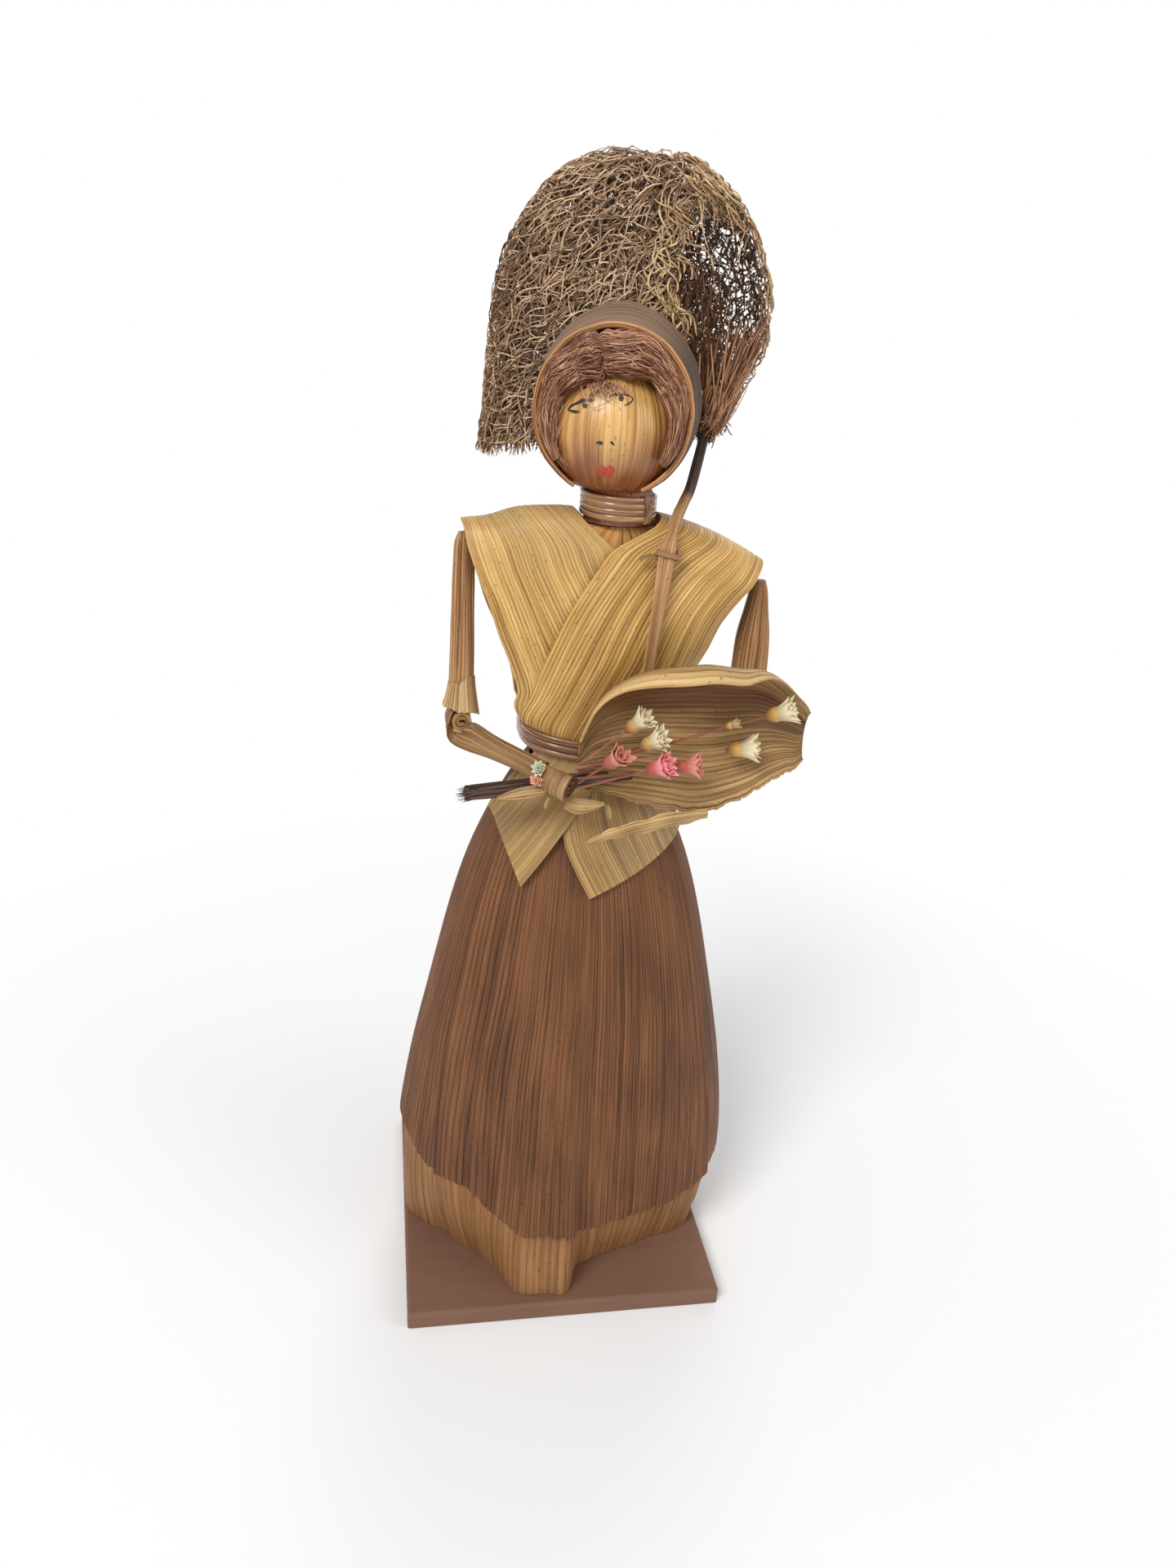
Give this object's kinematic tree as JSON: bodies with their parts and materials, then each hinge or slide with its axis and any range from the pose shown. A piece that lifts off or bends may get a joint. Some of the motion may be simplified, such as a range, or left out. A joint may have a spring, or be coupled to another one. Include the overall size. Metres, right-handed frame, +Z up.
{
  "type": "corn husk doll",
  "caption": "Standing corn husk doll in a long skirt and crossed shawl, with a bonnet, a posy in a husk leaf and a net parasol behind its head, on a square wooden board.",
  "frame": {"origin": "centre of the board's underside", "axes": "+Z up, the doll faces -Y, and its left hand is on the +X side"},
  "size_m": [0.1007, 0.1013, 0.3011],
  "materials": {
    "stained_wood": "dark red-brown stain, satin",
    "plain_wood": "bare",
    "husk_fill": "dry matt husk",
    "husk_tan": "dry ribbed husk",
    "husk_brown": "dyed ribbed husk with dark streaks",
    "husk_gold": "ribbed husk with a slight sheen",
    "husk_face": "fine ribbed husk, glossy",
    "husk_amber": "glossy brown husk",
    "husk_grey": "grey-brown husk",
    "pulp": "pressed pulp",
    "hair_fibre": "fine dry silk",
    "wire": "drawn",
    "stem": "dry dark stalks",
    "net": "open dried fibre net",
    "petal_cream": "dry matt petals",
    "petal_red": "dry matt petals",
    "petal_pink": "dry matt petals",
    "petal_green": "dry matt"
  },
  "bodies": {
    "stand": {"base_board": "stained_wood", "support_dowel": "plain_wood", "skirt_core": "husk_fill", "overskirt_front": "husk_brown", "overskirt_back": "husk_brown", "overskirt_left": "husk_brown", "overskirt_right": "husk_brown", "underskirt_front": "husk_tan", "underskirt_back": "husk_tan", "underskirt_left": "husk_tan", "underskirt_right": "husk_tan", "torso_bundle": "husk_amber", "shoulder_wire": "wire", "shawl_right": "husk_gold", "shawl_left": "husk_gold", "waistband": "husk_amber", "neck_peg": "plain_wood", "parasol_tie": "husk_amber"},
    "head": {"head_ball": "pulp", "head_husk": "husk_face", "neck_bundle": "husk_fill", "neck_band": "husk_amber", "hair_right": "hair_fibre", "hair_left": "hair_fibre", "bonnet": "husk_grey"},
    "upper_arm_right_body": {"upper_arm_right": "husk_amber", "arm_wire_right": "wire", "cuff_right": "husk_gold"},
    "forearm_right_body": {"elbow_roll_right": "husk_tan", "forearm_right": "husk_tan", "forearm_wire_right": "wire", "hand_right": "husk_tan", "stem_bundle": "stem", "husk_scrap": "husk_gold", "posy_green": "petal_green", "posy_red": "petal_red", "bouquet_leaf": "husk_gold", "leaf_strip": "husk_gold", "flower_cream_1": "petal_cream", "flower_cream_2": "petal_cream", "flower_cream_3": "petal_cream", "flower_cream_4": "petal_cream", "flower_bud": "petal_cream", "flower_red": "petal_red", "flower_pink": "petal_pink", "flower_rose": "petal_red"},
    "upper_arm_left_body": {"upper_arm_left": "husk_amber", "arm_wire_left": "wire"},
    "forearm_left_body": {"elbow_roll_left": "husk_tan", "forearm_left": "husk_tan", "forearm_wire_left": "wire", "hand_left": "husk_tan"},
    "parasol": {"parasol_stick": "husk_tan", "parasol_gather": "net", "parasol_canopy": "net"}
  },
  "joints": [
    {"name": "head_turn", "type": "hinge", "parent": "stand", "child": "head", "pos_m": [0.0072, 0, 0.2167], "axis": [0, 0, 1], "range_deg": [-10, 10]},
    {"name": "shoulder_right", "type": "hinge", "parent": "stand", "child": "upper_arm_right_body", "pos_m": [-0.03015, 0, 0.21002], "axis": [-0.9912, 0, 0.1322], "range_deg": [0, 25]},
    {"name": "elbow_right", "type": "hinge", "parent": "upper_arm_right_body", "child": "forearm_right_body", "pos_m": [-0.03015, 0, 0.16402], "axis": [0, -1, 0], "range_deg": [-5, 15]},
    {"name": "shoulder_left", "type": "hinge", "parent": "stand", "child": "upper_arm_left_body", "pos_m": [0.0457, 0, 0.1999], "axis": [-0.9912, 0, 0.1322], "range_deg": [-20, 0]},
    {"name": "elbow_left", "type": "hinge", "parent": "upper_arm_left_body", "child": "forearm_left_body", "pos_m": [0.0457, 0, 0.1539], "axis": [0, 1, 0], "range_deg": [-10, 30]},
    {"name": "parasol_slide", "type": "slide", "parent": "stand", "child": "parasol", "axis": [0.135, 0.175, 0.9753], "range_m": [0, 0.006]}
  ]
}
